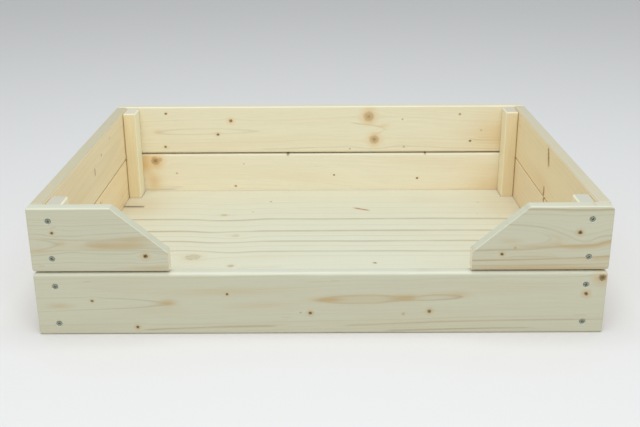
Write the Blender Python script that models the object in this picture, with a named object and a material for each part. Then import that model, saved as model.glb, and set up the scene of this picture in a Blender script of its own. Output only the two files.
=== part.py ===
"""Low, open hay and bedding box of planed spruce boards, with a cut-down entry in its front.

Metres, +Z up. The origin is on the ground under the middle of the box. +X runs along the
front, from its left wing to its right one, and the front faces -Y.
"""

import math

import bmesh
import bpy
from mathutils import Matrix, Vector

# The box, measured over its boards.
WIDTH = 0.840
DEPTH = 0.640
HEIGHT = 0.200

# The walls: each is two boards high, with an open joint between the two.
BOARD_THICKNESS = 0.020
BOARD_JOINT = 0.002
BOARD_ARRIS = 0.003
BOARD_ARRIS_STEPS = 3

# The wings: short upper front boards on either side of the entry, with the top corner cut off.
WING_LENGTH = 0.200
WING_TOP_LENGTH = 0.120
WING_END_HEIGHT = 0.030
CUT_ARRIS_SHARE = 0.3

# The corner posts stand on the ground inside the walls and end just below the rim.
POST_WIDTH = 0.025
POST_DEPTH = 0.045
POST_HEIGHT = 0.197
POST_ARRIS = 0.002
POST_ARRIS_STEPS = 2

# The floor panel lies on the ground inside the walls, notched round the posts.
FLOOR_THICKNESS = 0.018
FLOOR_ARRIS = 0.0008

# Countersunk wood screws, 4 x 40 mm, with a cross recess.
SCREW_LENGTH = 0.040
SCREW_HEAD_RADIUS = 0.004
SCREW_SHANK_RADIUS = 0.002
SCREW_RIM = 0.0004
SCREW_CONE = 0.0024
SCREW_POINT = 0.005
SCREW_SIDES = 12
SCREW_SINK = 0.0005
RECESS_ARM = 0.0023
RECESS_HALF_WIDTH = 0.0005
RECESS_DEPTH = 0.0018
RECESS_TAPER = 0.45

# Places of the screws: from the ends of a board, and above the ground.
SCREW_END_DISTANCE = 0.031
SCREW_HEIGHTS = (0.018, 0.078, 0.122, 0.180)
FLOOR_SCREWS_PER_SIDE = 3
FLOOR_SCREW_SPACING = 0.200
SCREW_TURN = math.radians(37.0)

# Clearances between pieces that touch.
FIT_GAP = 0.0003
HOLE_GAP = 0.0004
CUTTER_OVERRUN = 0.002

# Half sizes and levels that follow from the sizes above.
OUTER_X = WIDTH / 2
OUTER_Y = DEPTH / 2
INNER_X = OUTER_X - BOARD_THICKNESS
INNER_Y = OUTER_Y - BOARD_THICKNESS
BOARD_HEIGHT = (HEIGHT - BOARD_JOINT) / 2
UPPER_BOTTOM = HEIGHT - BOARD_HEIGHT
LEVELS = {"lower": (0.0, BOARD_HEIGHT), "upper": (UPPER_BOTTOM, HEIGHT)}
SIDES = {"left": -1, "right": 1}


def clear_scene():
    for obj in list(bpy.data.objects):
        bpy.data.objects.remove(obj)


def make_material(name, colour, roughness, metallic):
    material = bpy.data.materials.new(name)
    material.use_nodes = True
    material.diffuse_color = (*colour, 1.0)
    shader = material.node_tree.nodes["Principled BSDF"]
    shader.inputs["Base Color"].default_value = (*colour, 1.0)
    shader.inputs["Roughness"].default_value = roughness
    shader.inputs["Metallic"].default_value = metallic
    return material


def finish_mesh(bm, name):
    """Turns a bmesh into a mesh with outward faces, and frees it."""
    bmesh.ops.recalc_face_normals(bm, faces=bm.faces)
    mesh = bpy.data.meshes.new(name)
    bm.to_mesh(mesh)
    bm.free()
    return mesh


def add_object(name, mesh, material=None):
    obj = bpy.data.objects.new(name, mesh)
    if material:
        obj.data.materials.append(material)
    bpy.context.collection.objects.link(obj)
    return obj


def add_bevel(obj, width, steps, limit="NONE"):
    bevel = obj.modifiers.new("arris", "BEVEL")
    bevel.width = width
    bevel.segments = steps
    bevel.limit_method = limit


def weight_edges(mesh, weight_of):
    """Gives each edge the bevel weight that weight_of returns for its two end points."""
    weights = mesh.attributes.new("bevel_weight_edge", "FLOAT", "EDGE")
    for edge in mesh.edges:
        ends = [mesh.vertices[index].co for index in edge.vertices]
        weights.data[edge.index].value = weight_of(*ends)


# ---------------------------------------------------------------- boards, posts and floor


def block_mesh(name, size):
    bm = bmesh.new()
    bmesh.ops.create_cube(bm, size=1.0)
    bmesh.ops.scale(bm, vec=size, verts=bm.verts)
    return finish_mesh(bm, name)


def add_block(name, low, high, material, arris, steps):
    """A rectangular piece between two opposite corners, with rounded arrises."""
    low = Vector(low)
    high = Vector(high)
    obj = add_object(name, block_mesh(name, high - low), material)
    obj.location = (low + high) / 2
    add_bevel(obj, arris, steps)
    return obj


def add_board(name, low, high, material):
    return add_block(name, low, high, material, BOARD_ARRIS, BOARD_ARRIS_STEPS)


def prism_mesh(name, outline, direction):
    """A straight prism: the closed outline, moved along direction."""
    bm = bmesh.new()
    face = bm.faces.new([bm.verts.new(point) for point in outline])
    moved = bmesh.ops.extrude_face_region(bm, geom=[face])["geom"]
    top = [item for item in moved if isinstance(item, bmesh.types.BMVert)]
    bmesh.ops.translate(bm, vec=direction, verts=top)
    return finish_mesh(bm, name)


def add_full_length_boards(wood):
    """The two back boards and the lower front board, which cover the ends of the side boards."""
    boards = {}
    for level, (bottom, top) in LEVELS.items():
        boards[f"back_{level}_board"] = (INNER_Y, OUTER_Y, bottom, top)
    boards["front_lower_board"] = (-OUTER_Y, -INNER_Y, *LEVELS["lower"])
    for name, (front, rear, bottom, top) in boards.items():
        add_board(name, (-OUTER_X, front, bottom), (OUTER_X, rear, top), wood)


def add_side_boards(wood):
    reach = INNER_Y - FIT_GAP
    for side, sign in SIDES.items():
        near, far = sorted((sign * INNER_X, sign * OUTER_X))
        for level, (bottom, top) in LEVELS.items():
            low = (near, -reach, bottom)
            high = (far, reach, top)
            add_board(f"{side}_{level}_board", low, high, wood)


def add_wing(side, sign, wood):
    """An upper front board whose inner top corner is cut off in one straight slope."""
    name = f"front_{side}_wing"
    inner_end = OUTER_X - WING_LENGTH
    slope_top = OUTER_X - WING_TOP_LENGTH
    slope_foot = UPPER_BOTTOM + WING_END_HEIGHT
    outline = [
        (OUTER_X, UPPER_BOTTOM),
        (OUTER_X, HEIGHT),
        (slope_top, HEIGHT),
        (inner_end, slope_foot),
        (inner_end, UPPER_BOTTOM),
    ]
    points = [(sign * x, -OUTER_Y, z) for x, z in outline]
    mesh = prism_mesh(name, points, (0.0, BOARD_THICKNESS, 0.0))

    def weight(first, second):
        on_cut = max(abs(first.x), abs(second.x)) < slope_top + FIT_GAP
        on_end = max(abs(first.x), abs(second.x)) < inner_end + FIT_GAP
        on_slope = on_cut and max(first.z, second.z) > slope_foot - FIT_GAP
        return CUT_ARRIS_SHARE if on_end or on_slope else 1.0

    weight_edges(mesh, weight)
    wing = add_object(name, mesh, wood)
    add_bevel(wing, BOARD_ARRIS, BOARD_ARRIS_STEPS, "WEIGHT")


def add_posts(wood):
    for side, sign in SIDES.items():
        outer = sign * (INNER_X - FIT_GAP)
        near, far = sorted((outer, outer - sign * POST_WIDTH))
        for end, facing in (("front", -1), ("rear", 1)):
            back = facing * (INNER_Y - FIT_GAP)
            front, rear = sorted((back, back - facing * POST_DEPTH))
            low = (near, front, 0.0)
            high = (far, rear, POST_HEIGHT)
            name = f"post_{end}_{side}"
            add_block(name, low, high, wood, POST_ARRIS, POST_ARRIS_STEPS)


def add_floor(wood):
    """A panel with its four corners notched round the posts."""
    edge_x = INNER_X - FIT_GAP
    edge_y = INNER_Y - FIT_GAP
    notch_x = edge_x - POST_WIDTH - FIT_GAP
    notch_y = edge_y - POST_DEPTH - FIT_GAP
    quarter = [(edge_x, notch_y), (notch_x, notch_y), (notch_x, edge_y)]
    outline = []
    for sign_x, sign_y in ((1, 1), (-1, 1), (-1, -1), (1, -1)):
        corner = [(sign_x * x, sign_y * y, 0.0) for x, y in quarter]
        outline += corner if sign_x == sign_y else corner[::-1]
    mesh = prism_mesh("floor_panel", outline, (0.0, 0.0, FLOOR_THICKNESS))
    weight_edges(mesh, lambda first, second: float(first.z == second.z))
    floor = add_object("floor_panel", mesh, wood)
    add_bevel(floor, FLOOR_ARRIS, 1, "WEIGHT")


# ---------------------------------------------------------------- screws and their holes


def turned_mesh(name, profile):
    """A closed turned shape from (radius, height) points that start and end on the Z axis."""
    bm = bmesh.new()
    points = [bm.verts.new((radius, 0.0, height)) for radius, height in profile]
    edges = [bm.edges.new(pair) for pair in zip(points, points[1:])]
    bmesh.ops.spin(
        bm,
        geom=points + edges,
        cent=(0.0, 0.0, 0.0),
        axis=(0.0, 0.0, 1.0),
        angle=math.tau,
        steps=SCREW_SIDES,
        use_merge=True,
    )
    bmesh.ops.remove_doubles(bm, verts=bm.verts, dist=1e-6)
    bmesh.ops.dissolve_degenerate(bm, edges=bm.edges, dist=1e-6)
    return finish_mesh(bm, name)


def recess_mesh():
    """A tapering cross that opens upward, from above the head down to the recess's bottom."""
    arm = RECESS_ARM
    half = RECESS_HALF_WIDTH
    bm = bmesh.new()
    outline = []
    for quarter in range(4):
        turn = Matrix.Rotation(quarter * math.pi / 2, 3, "Z")
        for point in ((arm, -half, 0.0), (arm, half, 0.0), (half, half, 0.0)):
            outline.append(turn @ Vector(point))
    grow = 1.0 + (1.0 - RECESS_TAPER) * CUTTER_OVERRUN / RECESS_DEPTH
    rings = []
    for scale, height in ((grow, CUTTER_OVERRUN), (RECESS_TAPER, -RECESS_DEPTH)):
        lifted = Vector((0.0, 0.0, height))
        rings.append([bm.verts.new(point * scale + lifted) for point in outline])
    top, bottom = rings
    bm.faces.new(top)
    bm.faces.new(bottom)
    for index in range(len(outline)):
        after = (index + 1) % len(outline)
        bm.faces.new((top[index], top[after], bottom[after], bottom[index]))
    return finish_mesh(bm, "recess")


def screw_mesh():
    """One finished screw, head at the origin and point along -Z, shared by all of them."""
    neck = SCREW_RIM + SCREW_CONE
    profile = [
        (0.0, 0.0),
        (SCREW_HEAD_RADIUS, 0.0),
        (SCREW_HEAD_RADIUS, -SCREW_RIM),
        (SCREW_SHANK_RADIUS, -neck),
        (SCREW_SHANK_RADIUS, SCREW_POINT - SCREW_LENGTH),
        (0.0, -SCREW_LENGTH),
    ]
    blank = add_object("screw_blank", turned_mesh("screw_blank", profile))
    cutter = add_object("screw_recess", recess_mesh())
    recess = blank.modifiers.new("recess", "BOOLEAN")
    recess.object = cutter
    graph = bpy.context.evaluated_depsgraph_get()
    mesh = bpy.data.meshes.new_from_object(blank.evaluated_get(graph))
    mesh.name = "wood_screw"
    bpy.data.objects.remove(blank)
    bpy.data.objects.remove(cutter)
    return mesh


def hole_mesh():
    """The space one screw needs: its own shape and a clearance, open above the head."""
    radius = SCREW_HEAD_RADIUS + HOLE_GAP
    shank = SCREW_SHANK_RADIUS + HOLE_GAP
    neck = SCREW_RIM + SCREW_CONE
    profile = [
        (0.0, CUTTER_OVERRUN),
        (radius, CUTTER_OVERRUN),
        (radius, -SCREW_RIM - HOLE_GAP / 2),
        (shank, -neck - HOLE_GAP / 2),
        (shank, -SCREW_LENGTH - HOLE_GAP),
        (0.0, -SCREW_LENGTH - HOLE_GAP),
    ]
    return turned_mesh("screw_hole", profile)


def screw_places():
    """Yields (name, head centre, outward direction, pieces it passes through) of each screw."""
    along_x = OUTER_X - SCREW_END_DISTANCE
    along_y = INNER_Y - SCREW_END_DISTANCE
    sink_x = OUTER_X - SCREW_SINK
    sink_y = OUTER_Y - SCREW_SINK
    for number, height in enumerate(SCREW_HEIGHTS, start=1):
        level = "upper" if height > UPPER_BOTTOM else "lower"
        for side, sign in SIDES.items():
            front_board = "front_lower_board" if level == "lower" else f"front_{side}_wing"
            walls = (("front", "front", -1, front_board), ("back", "rear", 1, f"back_{level}_board"))
            for wall, end, facing, board in walls:
                post = f"post_{end}_{side}"
                head = Vector((sign * along_x, facing * sink_y, height))
                outward = Vector((0, facing, 0))
                yield f"{wall}_screw_{side}_{number}", head, outward, (board, post)
                head = Vector((sign * sink_x, facing * along_y, height))
                outward = Vector((sign, 0, 0))
                board_beside = f"{side}_{level}_board"
                yield f"{side}_screw_{end}_{number}", head, outward, (board_beside, post)
    for side, sign in SIDES.items():
        for number in range(FLOOR_SCREWS_PER_SIDE):
            offset = (number - (FLOOR_SCREWS_PER_SIDE - 1) / 2) * FLOOR_SCREW_SPACING
            head = Vector((sign * sink_x, offset, FLOOR_THICKNESS / 2))
            outward = Vector((sign, 0, 0))
            board = f"{side}_lower_board"
            yield f"floor_screw_{side}_{number + 1}", head, outward, (board, "floor_panel")


def add_screws(steel):
    """Drives every screw, each stopped at its own angle, and gathers the holes by piece."""
    mesh = screw_mesh()
    mesh.materials.clear()
    mesh.materials.append(steel)
    holes = {}
    for index, (name, head, outward, pieces) in enumerate(screw_places()):
        turn = outward.to_track_quat("Z", "Y").to_matrix().to_4x4()
        turn = turn @ Matrix.Rotation(index * SCREW_TURN, 4, "Z")
        screw = bpy.data.objects.new(name, mesh)
        screw.matrix_world = Matrix.Translation(head) @ turn
        bpy.context.collection.objects.link(screw)
        for piece in pieces:
            holes.setdefault(piece, []).append(screw.matrix_world.copy())
    return holes


def drill(holes):
    """Cuts each piece's screw holes out of it with one hidden cutter."""
    template = hole_mesh()
    for piece, places in holes.items():
        bm = bmesh.new()
        for place in places:
            hole = template.copy()
            hole.transform(place)
            bm.from_mesh(hole)
            bpy.data.meshes.remove(hole)
        cutter = add_object(f"{piece}_holes", finish_mesh(bm, f"{piece}_holes"))
        cutter.hide_render = True
        cutter.display_type = "WIRE"
        drilled = bpy.data.objects[piece].modifiers.new("screw_holes", "BOOLEAN")
        drilled.operation = "DIFFERENCE"
        drilled.object = cutter
    bpy.data.meshes.remove(template)


def main():
    clear_scene()
    board_wood = make_material("spruce_board", (0.80, 0.66, 0.42), 0.55, 0.0)
    post_wood = make_material("spruce_post", (0.78, 0.64, 0.41), 0.60, 0.0)
    panel_wood = make_material("spruce_panel", (0.82, 0.70, 0.48), 0.50, 0.0)
    steel = make_material("zinc_steel", (0.42, 0.46, 0.50), 0.38, 1.0)
    add_full_length_boards(board_wood)
    add_side_boards(board_wood)
    for side, sign in SIDES.items():
        add_wing(side, sign, board_wood)
    add_posts(post_wood)
    add_floor(panel_wood)
    drill(add_screws(steel))


main()
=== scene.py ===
"""Looks of a low spruce hay and bedding box: planed boards, corner posts, floor and screws."""

import math
from collections import namedtuple

import bmesh
import bpy
from mathutils import Matrix, Vector, noise


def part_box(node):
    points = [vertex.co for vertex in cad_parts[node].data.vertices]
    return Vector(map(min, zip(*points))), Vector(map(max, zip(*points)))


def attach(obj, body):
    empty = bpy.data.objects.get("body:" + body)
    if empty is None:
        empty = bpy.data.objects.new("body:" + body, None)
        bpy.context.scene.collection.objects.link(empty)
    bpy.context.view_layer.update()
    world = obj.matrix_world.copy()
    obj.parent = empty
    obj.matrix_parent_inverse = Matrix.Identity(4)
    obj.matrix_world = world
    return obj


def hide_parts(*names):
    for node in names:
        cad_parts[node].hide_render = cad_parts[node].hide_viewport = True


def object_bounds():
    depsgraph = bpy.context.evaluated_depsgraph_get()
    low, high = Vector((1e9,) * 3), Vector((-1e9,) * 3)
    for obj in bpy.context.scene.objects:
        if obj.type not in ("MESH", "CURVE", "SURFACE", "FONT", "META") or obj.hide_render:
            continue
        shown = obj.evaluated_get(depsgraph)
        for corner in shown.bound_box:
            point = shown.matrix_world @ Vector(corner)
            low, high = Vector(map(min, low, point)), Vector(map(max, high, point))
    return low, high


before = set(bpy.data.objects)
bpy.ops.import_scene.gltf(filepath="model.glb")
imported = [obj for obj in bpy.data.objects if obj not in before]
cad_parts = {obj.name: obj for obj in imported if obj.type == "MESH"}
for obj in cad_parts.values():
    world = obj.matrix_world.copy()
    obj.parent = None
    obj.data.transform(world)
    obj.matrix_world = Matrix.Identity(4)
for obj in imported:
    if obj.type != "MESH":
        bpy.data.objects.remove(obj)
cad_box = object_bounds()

SCENE = bpy.context.scene
AXES = "XYZ"
MM = 0.001
BOX_LOW = cad_box[0]

# ---------------------------------------------------------------- camera, stage and light

CAMERA_OFFSET = Vector((0.0048, -1.2104, 0.6317))
CAMERA_PITCH = math.radians(20.017)
CAMERA_YAW = math.radians(0.220)
CAMERA_ROLL = math.radians(-0.321)
CAMERA_LENS = 50.95
SENSOR_WIDTH = 36.0

STAGE_SIZE = 14.0
STAGE_GAP = 0.0002
STAGE_COLOUR = (0.78, 0.70, 0.64, 1.0)
STAGE_ROUGHNESS = 0.85
DAYLIGHT = (0.88, 1.0, 1.10, 1.0)
DAYLIGHT_STRENGTH = 0.605
# Area lights: place, target, size in metres and power in watts.
LIGHTS = {
    "overhead": ((0.0, -0.3, 3.3), (0.0, 0.0, 0.0), (1.8, 1.8), 40.0),
    "front": ((0.0, -2.2, 2.4), (0.0, 0.1, 0.1), (3.0, 1.6), 40.5),
}


def add_camera():
    """The viewing angle: a little above the box and straight in front of it."""
    data = bpy.data.cameras.new("camera")
    data.lens = CAMERA_LENS
    data.sensor_width = SENSOR_WIDTH
    camera = bpy.data.objects.new("camera", data)
    turn = Matrix.Rotation(CAMERA_YAW, 4, "Z")
    tilt = Matrix.Rotation(math.pi / 2 - CAMERA_PITCH, 4, "X")
    roll = Matrix.Rotation(CAMERA_ROLL, 4, "Z")
    place = Vector((0.0, BOX_LOW.y, BOX_LOW.z)) + CAMERA_OFFSET
    camera.matrix_world = Matrix.Translation(place) @ turn @ tilt @ roll
    SCENE.collection.objects.link(camera)
    SCENE.camera = camera


def add_lights():
    """An even fill from all round, and two broad soft lights, overhead and in front."""
    world = bpy.data.worlds.new("studio")
    world.use_nodes = True
    background = world.node_tree.nodes["Background"]
    background.inputs["Color"].default_value = DAYLIGHT
    background.inputs["Strength"].default_value = DAYLIGHT_STRENGTH
    SCENE.world = world
    for name, (place, target, size, power) in LIGHTS.items():
        data = bpy.data.lights.new(name, "AREA")
        data.shape = "RECTANGLE"
        data.size, data.size_y = size
        data.energy = power
        data.color = DAYLIGHT[:3]
        light = bpy.data.objects.new(name, data)
        light.location = place
        light.rotation_mode = "QUATERNION"
        light.rotation_quaternion = (Vector(target) - Vector(place)).to_track_quat("-Z", "Y")
        SCENE.collection.objects.link(light)


def add_stage():
    bm = bmesh.new()
    bmesh.ops.create_grid(bm, x_segments=1, y_segments=1, size=STAGE_SIZE / 2)
    mesh = bpy.data.meshes.new("stage_floor")
    bm.to_mesh(mesh)
    bm.free()
    floor = bpy.data.objects.new("stage_floor", mesh)
    floor.location.z = BOX_LOW.z - STAGE_GAP
    material, shader, _ = new_material("stage")
    shader.inputs["Base Color"].default_value = STAGE_COLOUR
    shader.inputs["Roughness"].default_value = STAGE_ROUGHNESS
    mesh.materials.append(material)
    SCENE.collection.objects.link(floor)


# ---------------------------------------------------------------- node helpers


class Wiring:
    """Adds shader nodes to one tree. All but node and feed return the output socket they made."""

    def __init__(self, tree):
        self.tree = tree

    def node(self, kind, **settings):
        made = self.tree.nodes.new(kind)
        for key, value in settings.items():
            setattr(made, key, value)
        return made

    def feed(self, socket, value):
        """Links the value to the socket, or sets it there if it is a number or colour."""
        if isinstance(value, bpy.types.NodeSocket):
            self.tree.links.new(value, socket)
        else:
            socket.default_value = value

    def math(self, operation, *values):
        made = self.node("ShaderNodeMath", operation=operation)
        for socket, value in zip(made.inputs, values):
            self.feed(socket, value)
        return made.outputs[0]

    def chain(self, operation, values):
        """One operation, carried on from the first value to the last."""
        result = values[0]
        for value in values[1:]:
            result = self.math(operation, result, value)
        return result

    def plus(self, *values):
        return self.chain("ADD", values)

    def times(self, *values):
        return self.chain("MULTIPLY", values)

    def minus(self, first, second):
        return self.math("SUBTRACT", first, second)

    def over(self, first, second):
        return self.math("DIVIDE", first, second)

    def largest(self, *values):
        return self.chain("MAXIMUM", values)

    def squares(self, first, second):
        """The sum of two squares."""
        return self.plus(self.math("POWER", first, 2.0), self.math("POWER", second, 2.0))

    def vector(self, x, y, z):
        made = self.node("ShaderNodeCombineXYZ")
        for socket, value in zip(made.inputs, (x, y, z)):
            self.feed(socket, value)
        return made.outputs[0]

    def parts(self, vector):
        """The three sockets X, Y and Z of a vector."""
        made = self.node("ShaderNodeSeparateXYZ")
        self.feed(made.inputs[0], vector)
        return made.outputs

    def noise(self, vector, scale=1.0, detail=2.0, roughness=0.5):
        """Fractal noise from 0 to 1, with its mean near a half."""
        made = self.node("ShaderNodeTexNoise", noise_dimensions="3D")
        self.feed(made.inputs["Vector"], vector)
        made.inputs["Scale"].default_value = scale
        made.inputs["Detail"].default_value = detail
        made.inputs["Roughness"].default_value = roughness
        return made.outputs["Fac"]

    def swing(self, value, size):
        """A noise turned into a push of either sign, of up to half the size."""
        return self.times(self.minus(value, 0.5), size)

    def spread(self, value, low, high, to_low=0.0, to_high=1.0, shape="SMOOTHSTEP"):
        """Value's span from low to high, mapped to another span and held at its ends."""
        made = self.node("ShaderNodeMapRange", interpolation_type=shape)
        made.clamp = True
        for socket, number in zip(made.inputs, (value, low, high, to_low, to_high)):
            self.feed(socket, number)
        return made.outputs[0]

    def linear(self, value, low, high, to_low, to_high):
        return self.spread(value, low, high, to_low, to_high, "LINEAR")

    def bell(self, value, centre, width):
        """A bell curve of height 1 round centre."""
        offset = self.over(self.minus(value, centre), width)
        return self.math("EXPONENT", self.times(self.times(offset, offset), -1.0))

    def mix(self, factor, first, second, blend="MIX"):
        """Two colours mixed. The node names its colour sockets like its number ones: both are A and B."""
        made = self.node("ShaderNodeMix", data_type="RGBA", blend_type=blend)
        colours = [socket for socket in made.inputs if socket.type == "RGBA"]
        self.feed(made.inputs[0], factor)
        self.feed(colours[0], first)
        self.feed(colours[1], second)
        return next(socket for socket in made.outputs if socket.type == "RGBA")


def new_material(name):
    """A new material, its shader, and the wiring of its tree."""
    material = bpy.data.materials.new(name)
    material.use_nodes = True
    tree = material.node_tree
    return material, tree.nodes["Principled BSDF"], Wiring(tree)


def add_bump(w, shader, height, strength, distance):
    bump = w.node("ShaderNodeBump")
    bump.inputs["Strength"].default_value = strength
    bump.inputs["Distance"].default_value = distance
    w.feed(bump.inputs["Height"], height)
    w.feed(shader.inputs["Normal"], bump.outputs[0])


# ---------------------------------------------------------------- figures of the boards

# A knot's place from the board's low corner, its radius, how dark it is, how wide its glow is,
# and the dark share of its radius.
Knot = namedtuple("Knot", "along across radius shade glow core", defaults=(1.0, 1.0))
# A bold growth ring: its distance from the log's middle, its width and its strength, and the
# stretch of the board that shows it.
Ring = namedtuple("Ring", "radius width strength start stop", defaults=(None, None))
# A bold late-wood line that runs along a board. Its place across the board is one number, or
# points of (along, across) when it bends.
Line = namedtuple("Line", "across width strength start stop", defaults=(None, None))
# A short mark in the wood: its middle, half length, half width, slope and strength.
Streak = namedtuple("Streak", "along across reach width slope strength")
# A warm cloud in the wood. A few, beside the rear right post, are painted warm shade instead.
Tone = namedtuple("Tone", "along across reach_along reach_across strength")
# Figure of one board: its grain and width directions, the path of the log's middle as points
# of (along, across, depth below the face), the growth of a year, its painted light and shade inside
# the box and on top, and its marks. Rings nearer than quiet to the log's middle are faint. The bends
# in the path reach that far across the board.
Figure = namedtuple(
    "Figure",
    "grain across pith ring seed shade top knots rings lines streaks cracks tones contrast wander"
    " cloud quiet reach",
    defaults=((), (), (), (), (), (), 0.30, 4.0, 0.16, 0.0, 9000.0),
)

MARKS = {"knots": Knot, "rings": Ring, "lines": Line, "streaks": Streak, "cracks": Streak, "tones": Tone}
# The fields that are lengths. They are written in millimetres below.
LENGTHS = {
    Knot: ("along", "across", "radius"),
    Ring: ("radius", "width", "start", "stop"),
    Line: ("across", "width", "start", "stop"),
    Streak: ("along", "across", "reach", "width"),
    Tone: ("along", "across", "reach_along", "reach_across"),
    Figure: ("pith", "ring", "wander", "quiet", "reach"),
}

# The shades multiply the colour of the wood and are painted light and shade. Nearly all are those of one
# face of the box.
FRONT_PAINTED_SHADE = (0.755, 0.80, 0.82)
FRONT_INNER_PAINTED_LIGHT = (1.05, 1.05, 1.05)
FRONT_TOP_PAINTED_LIGHT = (0.80, 0.84, 0.90)
HIDDEN_SHADE = (0.92, 0.91, 0.88)
BACK_PAINTED_LIGHT = (1.12, 1.135, 1.165)
BACK_LOWER_PAINTED_LIGHT = (1.13, 1.15, 1.21)
BACK_TOP_PAINTED_SHADE = (0.91, 0.905, 0.90)
WALL_PAINTED_LIGHT = {
    "left_upper": (1.225, 1.17, 1.11), "left_lower": (1.27, 1.165, 1.05),
    "right_upper": (1.18, 1.09, 0.965), "right_lower": (1.15, 1.055, 0.98),
}
LEFT_WALL_TOP_PAINTED_SHADE = (0.72, 0.69, 0.635)
RIGHT_WALL_TOP_PAINTED_SHADE = (0.77, 0.735, 0.705)
# Painted warm light on the faces in the joint between the wall boards.
JOINT_PAINTED_LIGHT = (1.26, 1.05, 0.80)
FLOOR_PAINTED_SHADE = (0.895, 0.94, 1.00)
POST_PAINTED_LIGHT = {"left": (1.14, 1.155, 1.08), "right": (1.09, 1.066, 0.98)}
# Painted light and shade on the top face of each post.
POST_TOP_PAINTED_LIGHT = {
    "rear_left": (1.10, 1.03, 1.02), "rear_right": (0.99, 0.90, 0.89),
    "front_left": (0.89, 0.84, 0.855), "front_right": (0.88, 0.88, 0.90),
}

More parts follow.
